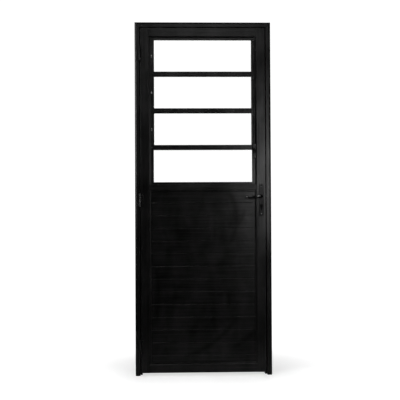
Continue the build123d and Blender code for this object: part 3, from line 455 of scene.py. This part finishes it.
def ring(shape, matrix, radius, height):
    """Circle of vertices at a height along the piece's axis."""
    turns = [2 * math.pi * step / RING_COUNT for step in range(RING_COUNT)]
    points = [Vector((radius * math.cos(turn), radius * math.sin(turn), height)) for turn in turns]
    return [shape.verts.new(matrix @ point) for point in points]


def wall(shape, lower, upper):
    """Quads between two loops with the same number of vertices."""
    for step in range(len(lower)):
        after = (step + 1) % len(lower)
        shape.faces.new((lower[step], lower[after], upper[after], upper[step]))


def turned(shape, matrix, profile):
    """Rings of a turned piece from its profile of radius and height, walled and closed below."""
    rings = [ring(shape, matrix, *row) for row in profile]
    for lower, upper in zip(rings, rings[1:]):
        wall(shape, lower, upper)
    shape.faces.new(rings[0][::-1])
    return rings


def loop_edges(shape, loop):
    """Edges round a closed loop of vertices, made where they are missing."""
    pairs = zip(loop, loop[1:] + loop[:1])
    return [shape.edges.get(pair) or shape.edges.new(pair) for pair in pairs]


def recess(shape, matrix, outline, rim, top, depth):
    """Recess of the given outline sunk into a head, and the flat of the head round it."""
    taper = RECESS_TAPER_SHARE
    mouth = [shape.verts.new(matrix @ Vector((x, y, top))) for x, y in outline]
    base = [shape.verts.new(matrix @ Vector((x * taper, y * taper, top - depth))) for x, y in outline]
    wall(shape, base, mouth)
    shape.faces.new(base)
    edges = loop_edges(shape, rim) + loop_edges(shape, mouth)
    outward = matrix.to_3x3() @ Vector((0, 0, 1))
    bmesh.ops.triangle_fill(shape, use_beauty=True, edges=edges, normal=outward)


def add_screw(shape, matrix, radius, length):
    """Countersunk screw with a slightly raised head and a cross recess."""
    shank = radius * SHANK_SHARE
    rings = turned(shape, matrix, (
        (shank, -length),
        (shank, shank - radius),
        (radius * RIM_SHARE, -SCREW_LIP),
        (radius * EDGE_SHARE, 0.0),
        (radius * SHOULDER_SHARE, SCREW_CROWN * SHOULDER_CROWN_SHARE),
        (radius * FLAT_SHARE, SCREW_CROWN),
    ))
    arm, half = radius * CROSS_ARM_SHARE, radius * CROSS_HALF_SHARE
    quarter = [(arm, -half), (arm, half), (half, half)]
    outline = []
    for turn in range(4):
        for x, y in quarter:
            for _ in range(turn):
                x, y = -y, x
            outline.append((x, y))
    recess(shape, matrix, outline, rings[-1], SCREW_CROWN, radius * CROSS_DEPTH_SHARE)


def add_grub(shape, matrix, radius, length):
    """Set screw with a hexagonal socket."""
    profile = ((radius, -length), (radius, -GRUB_CHAMFER), (radius * GRUB_FACE_SHARE, 0.0))
    rings = turned(shape, matrix, profile)
    socket = radius * SOCKET_SHARE
    turns = [corner * math.pi / 3 for corner in range(6)]
    outline = [(socket * math.cos(turn), socket * math.sin(turn)) for turn in turns]
    recess(shape, matrix, outline, rings[-1], 0.0, radius * SOCKET_DEPTH_SHARE)


def add_dome(shape, matrix, radius, height):
    """Low domed cap of a rivet, closed below and above."""
    lifts = [0.5 * math.pi * step / DOME_STEPS for step in range(DOME_STEPS)]
    dome = [(radius * math.cos(lift), height * math.sin(lift)) for lift in lifts]
    rings = turned(shape, matrix, [(radius, -DOME_SINK)] + dome)
    shape.faces.new(rings[-1])


def add_piece(name, shape, body, slot, *replaced):
    """Finished piece from its shape, riding on a body and standing for the nodes that it replaces."""
    bmesh.ops.recalc_face_normals(shape, faces=shape.faces)
    mesh = bpy.data.meshes.new(name)
    shape.to_mesh(mesh)
    shape.free()
    for polygon in mesh.polygons:
        polygon.use_smooth = True
    mesh.set_sharp_from_angle(angle=math.radians(SHARP_ANGLE))
    mesh.materials.append(materials[slot])
    piece = bpy.data.objects.new(name, mesh)
    bpy.context.scene.collection.objects.link(piece)
    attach(piece, body)
    if replaced:
        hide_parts(*replaced)


def screws_for(node, name, body, slot):
    """Detailed screws in the places of a node's plain ones, each turned its own way."""
    shape = bmesh.new()
    for index, (low, high) in enumerate(solid_boxes(node)):
        facing, depth = ("front", low.y) if low.y < 0 else ("back", high.y)
        middle = (low + high) / 2
        spin = SCREW_SPIN_STEP * index + SCREW_SPIN
        matrix = placed(facing, (middle.x, depth, middle.z), spin)
        add_screw(shape, matrix, (high.z - low.z) / 2, high.y - low.y)
    add_piece(name, shape, body, slot, node)


def rivet_caps(sash):
    """Domes on both ends of the rivet that ties a sash to the link bar."""
    low, high = (Vector(corner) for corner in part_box(f"sash_{sash}_lug"))
    depth = joints["link_swing"]["pos_m"][1]
    height = (low.z + high.z) / 2
    caps = bmesh.new()
    add_dome(caps, placed("left", (RIVET_LEFT, depth, height)), RIVET_RADIUS, RIVET_LEFT_HEIGHT)
    add_dome(caps, placed("right", (high.x, depth, height)), RIVET_RADIUS, RIVET_RIGHT_HEIGHT)
    add_piece(f"sash_{sash}_rivet_caps", caps, f"sash_{sash}", "zinc_steel")


def lock_screws(node, name, body, facing):
    """Two screws on the face of a narrow plate, near its ends."""
    low, high = (Vector(corner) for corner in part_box(node))
    face = high.x if facing == "right" else low.x
    heads = bmesh.new()
    for index, height in enumerate((low.z + LOCK_SCREW_INSET, high.z - LOCK_SCREW_INSET)):
        spin = LOCK_SCREW_SPIN_STEP * index + LOCK_SCREW_SPIN
        matrix = placed(facing, (face, (low.y + high.y) / 2, height), spin)
        add_screw(heads, matrix, LOCK_SCREW_RADIUS, LOCK_SCREW_LENGTH)
    add_piece(name, heads, body, "zinc_steel")


def lever_grubs():
    """Set screws under the necks of both levers."""
    lever_x, _, lever_height = joints["handle_turn"]["pos_m"]
    height = lever_height - NECK_RADIUS - GRUB_PROUD
    grubs = bmesh.new()
    for side in (-1, 1):
        add_grub(grubs, placed("down", (lever_x, side * GRUB_FROM_MIDDLE, height)), GRUB_RADIUS, GRUB_LENGTH)
    add_piece("lever_grub_screws", grubs, "handle", "zinc_steel")


screws_for("hinge_frame_screws", "hinge_frame_cross_screws", "frame", "black_paint")
screws_for("hinge_leaf_screws", "hinge_leaf_cross_screws", "leaf", "black_paint")
screws_for("plate_screws", "plate_cross_screws", "leaf", "zinc_steel")
for sash in (1, 2, 3):
    rivet_caps(sash)
lock_screws("lock_faceplate", "faceplate_screws", "leaf", "right")
lock_screws("strike_plate", "strike_screws", "frame", "left")
lever_grubs()


# Stage: a pale floor that keeps the shadow, white surroundings, soft lamps. What lies in front of the door is
# dim in reflections, because the photograph's black paint mirrors a dark studio there.
FLOOR_HALF = 12.0
FLOOR_HEIGHT = -0.0005
FLOOR_GREY = 0.7
FLOOR_BEHIND_SPAN = (0.1, 0.6)
FLOOR_DIM_SPAN = (0.2, 0.9)
FLOOR_DIM = (0.45, 0.95)
FLOOR_GLOW_SPAN = (0.45, 1.0)
FLOOR_GLOW = (0.5, 1.0)

WHITE_STRENGTH = 1.1
WORLD_BEHIND_SPAN = (0.0, 0.4)
WORLD_DIM_SPAN = (-0.3, 0.6)
WORLD_DIM = (0.004, 0.3)


def ray_share(tree, *kinds):
    """1 for rays of the named kinds, such as camera rays, and 0 for the others."""
    paths = tree.nodes.new("ShaderNodeLightPath")
    share = paths.outputs[kinds[0]]
    for kind in kinds[1:]:
        share = maths(tree, "MAXIMUM", share, paths.outputs[kind])
    return share


def white_share(tree, behind):
    """1 for rays from the camera, through glass, and mirrored ones that meet what lies behind the door."""
    mirrored = maths(tree, "MULTIPLY", ray_share(tree, "Is Glossy Ray"), behind)
    return maths(tree, "MAXIMUM", ray_share(tree, "Is Camera Ray", "Is Transmission Ray"), mirrored)


def make_floor():
    """Large pale floor; it glows a little where it is seen, so that it is white and the shadow is light."""
    mesh = bpy.data.meshes.new("floor")
    signs = ((-1, -1), (1, -1), (1, 1), (-1, 1))
    corners = [(x * FLOOR_HALF, y * FLOOR_HALF, FLOOR_HEIGHT) for x, y in signs]
    mesh.from_pydata(corners, [], [(0, 1, 2, 3)])
    floor = bpy.data.objects.new("floor", mesh)
    bpy.context.scene.collection.objects.link(floor)
    material, tree, shader = new_material("floor")
    place = object_position(tree)
    length = tree.nodes.new("ShaderNodeVectorMath")
    length.operation = "LENGTH"
    tree.links.new(place, length.inputs[0])
    distance = length.outputs["Value"]
    behind = ramp(tree, separated(tree, place)["Y"], FLOOR_BEHIND_SPAN, (0.0, 1.0))
    before = maths(tree, "SUBTRACT", 1.0, behind)
    mirrored = maths(tree, "MULTIPLY", ray_share(tree, "Is Glossy Ray"), before)
    dim = maths(tree, "MULTIPLY", mirrored, ramp(tree, distance, FLOOR_DIM_SPAN, FLOOR_DIM))
    set_input(tree, shader.inputs["Base Color"], mix_colour(tree, dim, grey(FLOOR_GREY), grey(0.0)))
    shader.inputs["Roughness"].default_value = 1.0
    shader.inputs["Specular IOR Level"].default_value = 0.0
    shader.inputs["Emission Color"].default_value = grey(1.0)
    glow = ramp(tree, distance, FLOOR_GLOW_SPAN, FLOOR_GLOW)
    seen_glow = maths(tree, "MULTIPLY", white_share(tree, behind), glow)
    set_input(tree, shader.inputs["Emission Strength"], seen_glow)
    mesh.materials.append(material)


def make_world():
    """White where it is seen, and otherwise dim in front of the door and paler behind it."""
    world = bpy.data.worlds.new("studio")
    world.use_nodes = True
    tree = world.node_tree
    tree.nodes.clear()
    output = tree.nodes.new("ShaderNodeOutputWorld")
    plain = tree.nodes.new("ShaderNodeBackground")
    white = tree.nodes.new("ShaderNodeBackground")
    white.inputs["Color"].default_value = grey(1.0)
    white.inputs["Strength"].default_value = WHITE_STRENGTH
    away = separated(tree, tree.nodes.new("ShaderNodeTexCoord").outputs["Generated"])["Y"]
    tree.links.new(ramp(tree, away, WORLD_DIM_SPAN, WORLD_DIM), plain.inputs["Strength"])
    behind = ramp(tree, away, WORLD_BEHIND_SPAN, (0.0, 1.0))
    mixer = tree.nodes.new("ShaderNodeMixShader")
    tree.links.new(white_share(tree, behind), mixer.inputs["Fac"])
    tree.links.new(plain.outputs["Background"], mixer.inputs[1])
    tree.links.new(white.outputs["Background"], mixer.inputs[2])
    tree.links.new(mixer.outputs["Shader"], output.inputs["Surface"])
    bpy.context.scene.world = world


def add_lamp(name, place, target, size, power, spread=180):
    """Soft rectangular lamp that faces a target: size in metres, power in watts, spread in degrees."""
    lamp = bpy.data.lights.new(name, "AREA")
    lamp.shape = "RECTANGLE"
    lamp.size, lamp.size_y = size
    lamp.energy = power
    lamp.spread = math.radians(spread)
    holder = bpy.data.objects.new(name, lamp)
    holder.location = place
    holder.rotation_euler = (Vector(target) - Vector(place)).to_track_quat("-Z", "Y").to_euler()
    holder.visible_camera = False
    holder.visible_transmission = False
    bpy.context.scene.collection.objects.link(holder)


def make_lamps():
    """Narrow strips for the highlights on the right and the top, softboxes for the rest."""
    add_lamp("right_strip", place=(0.6, -1.05, 1.25), target=(0.4, 0, 1.25), size=(0.25, 0.85), power=2.7)
    add_lamp("right_softbox", place=(1.3, -4.4, 1.6), target=(0.2, 0, 1.2), size=(0.7, 1.2), power=6.3)
    add_lamp("upper_softbox", place=(0.1, -4.0, 3.0), target=(0, 0, 1.6), size=(1.4, 0.5), power=6.0)
    add_lamp("left_softbox", place=(-2.4, -2.0, 1.95), target=(0, 0, 1.2), size=(0.6, 1.4), power=32)
    add_lamp("low_softbox", place=(1.0, -2.5, 0.25), target=(0.2, 0, 0.5), size=(0.8, 0.4), power=0.7)
    add_lamp("top_strip", place=(0.1, -0.45, 3.6), target=(0.1, -0.1, 0), size=(1.6, 0.25), power=2.5)
    add_lamp("floor_softbox", place=(0, -0.9, 4.4), target=(0, -0.9, 0), size=(2.2, 1.0), power=9, spread=30)
    add_lamp("back_softbox", place=(0.8, 2.4, 1.7), target=(0, 0, 1.1), size=(0.8, 1.4), power=8, spread=50)


def make_camera():
    """Camera at the photograph's angle, with its slight roll."""
    azimuth, elevation, roll = map(math.radians, (CAMERA_AZIMUTH, CAMERA_ELEVATION, CAMERA_ROLL))
    outward = Vector((
        math.sin(azimuth) * math.cos(elevation),
        -math.cos(azimuth) * math.cos(elevation),
        math.sin(elevation),
    ))
    data = bpy.data.cameras.new("camera")
    data.lens = CAMERA_LENS
    data.sensor_width = CAMERA_SENSOR
    camera = bpy.data.objects.new("camera", data)
    turn = (-outward).to_track_quat("-Z", "Y").to_matrix().to_4x4() @ Matrix.Rotation(roll, 4, "Z")
    camera.matrix_world = Matrix.Translation(CAMERA_TARGET + CAMERA_DISTANCE * outward) @ turn
    bpy.context.scene.collection.objects.link(camera)
    bpy.context.scene.camera = camera


make_floor()
make_world()
make_lamps()
make_camera()

bpy.context.scene.view_settings.view_transform = "Standard"
